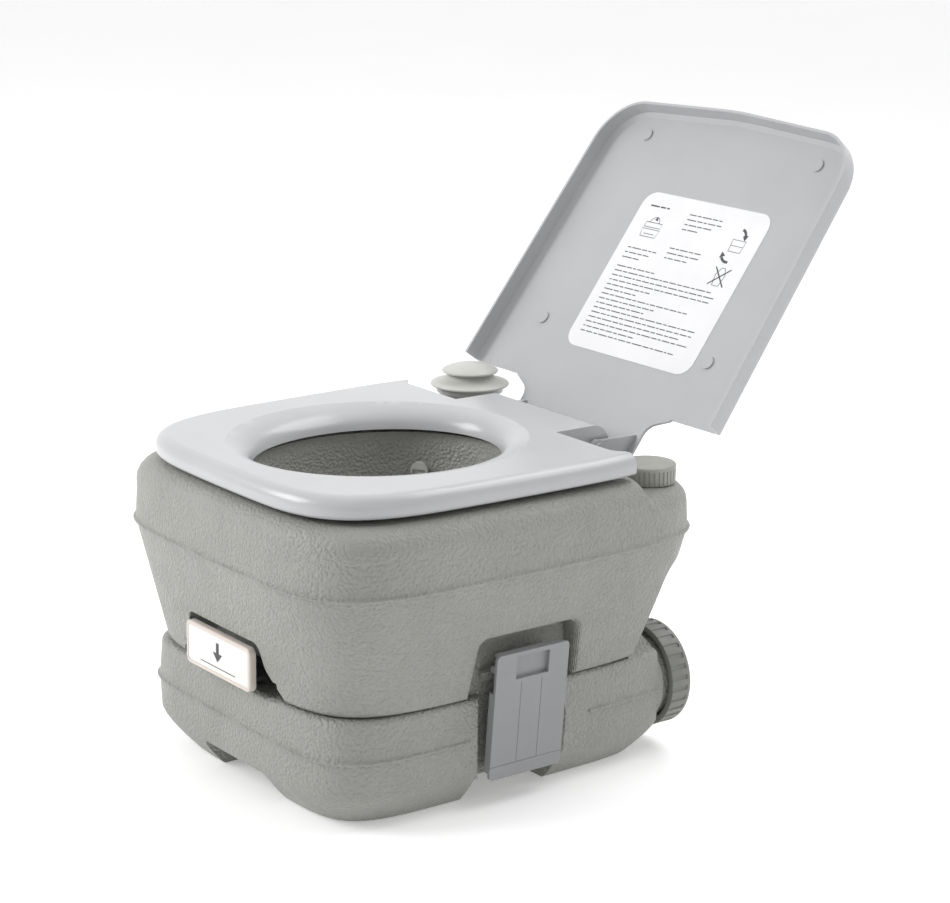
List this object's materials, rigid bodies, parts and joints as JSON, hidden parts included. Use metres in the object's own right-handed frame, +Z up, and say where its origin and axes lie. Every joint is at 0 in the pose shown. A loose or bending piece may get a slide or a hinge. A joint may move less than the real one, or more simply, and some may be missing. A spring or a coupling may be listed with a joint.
{
  "type": "portable flush toilet",
  "caption": "Portable flush toilet: an upper tank with bowl, hinged seat, lid, pump and filler, latched on a removable waste tank with slide valve and capped spout.",
  "frame": {"origin": "on the floor, under the middle of the body", "axes": "+Z up, -Y the front with the pull handle, +X the side of the filler cap and the spout"},
  "size_m": [0.3656, 0.583, 0.5322],
  "materials": {
    "tank_plastic": "fine pebbled mid grey",
    "seat_plastic": "smooth glossy light grey",
    "lid_plastic": "smooth satin light grey",
    "latch_plastic": "semi-matte cool grey",
    "fill_cap_plastic": "satin warm grey",
    "spout_cap_plastic": "satin dark grey",
    "pump_plastic": "satin light warm grey",
    "handle_plastic": "satin cream",
    "badge_plastic": "near white",
    "valve_plastic": "dark grey",
    "seal_rubber": "black",
    "pin_steel": "bright steel",
    "label_film": "white printed film"
  },
  "bodies": {
    "base": {"waste_tank": "tank_plastic", "valve_base_plate": "valve_plastic", "valve_cover_plate": "valve_plastic", "valve_lower_seal": "seal_rubber", "valve_upper_seal": "seal_rubber", "bowl_seal": "seal_rubber", "valve_screws": "pin_steel", "latch_pins": "pin_steel"},
    "upper": {"flush_tank": "tank_plastic", "pump_collar": "pump_plastic", "pump_barrel": "pump_plastic", "pump_foot_valve": "pump_plastic", "rinse_pipe": "pump_plastic", "rinse_nozzle": "pump_plastic", "pump_bellows": "pump_plastic", "hinge_pins": "pin_steel"},
    "gate": {"valve_gate": "valve_plastic", "pull_handle": "handle_plastic", "pull_badge": "badge_plastic", "handle_screws": "pin_steel"},
    "right_latch": {"latch_right": "latch_plastic"},
    "left_latch": {"latch_left": "latch_plastic"},
    "drain_cap": {"spout_cap": "spout_cap_plastic", "spout_cap_gasket": "seal_rubber"},
    "filler_cap": {"fill_cap": "fill_cap_plastic", "fill_cap_gasket": "seal_rubber"},
    "pump_head": {"pump_button": "pump_plastic"},
    "seat_ring": {"seat": "seat_plastic", "seat_bumpers": "seal_rubber"},
    "cover": {"lid": "lid_plastic", "lid_bumpers": "seal_rubber", "instruction_label": "label_film"}
  },
  "joints": [
    {"name": "tank_lift", "type": "slide", "parent": "base", "child": "upper", "axis": [0, 0, 1], "range_m": [0, 0.12]},
    {"name": "valve_slide", "type": "slide", "parent": "base", "child": "gate", "axis": [0, -1, 0], "range_m": [0, 0.11]},
    {"name": "right_latch_hinge", "type": "hinge", "parent": "base", "child": "right_latch", "pos_m": [0.157, 0, 0.033], "axis": [0, 1, 0], "range_deg": [-5, 70]},
    {"name": "left_latch_hinge", "type": "hinge", "parent": "base", "child": "left_latch", "pos_m": [-0.157, 0, 0.033], "axis": [0, -1, 0], "range_deg": [-5, 70]},
    {"name": "drain_cap_turn", "type": "hinge", "parent": "base", "child": "drain_cap", "pos_m": [0.113, 0.177, 0.062], "axis": [0, 1, 0], "continuous": true},
    {"name": "filler_cap_turn", "type": "hinge", "parent": "upper", "child": "filler_cap", "pos_m": [0.1276, 0.1584, 0.25], "axis": [0, 0, 1], "continuous": true},
    {"name": "pump_press", "type": "slide", "parent": "upper", "child": "pump_head", "axis": [0, 0, -1], "range_m": [0, 0.02], "stiffness_N_per_m": 300, "springref_m": -0.01, "deforming": ["pump_bellows"]},
    {"name": "seat_hinge", "type": "hinge", "parent": "upper", "child": "seat_ring", "pos_m": [0, 0.142, 0.264], "axis": [1, 0, 0], "range_deg": [-100, 0]},
    {"name": "lid_hinge", "type": "hinge", "parent": "upper", "child": "cover", "pos_m": [0, 0.142, 0.264], "axis": [1, 0, 0], "range_deg": [0, 127]}
  ]
}
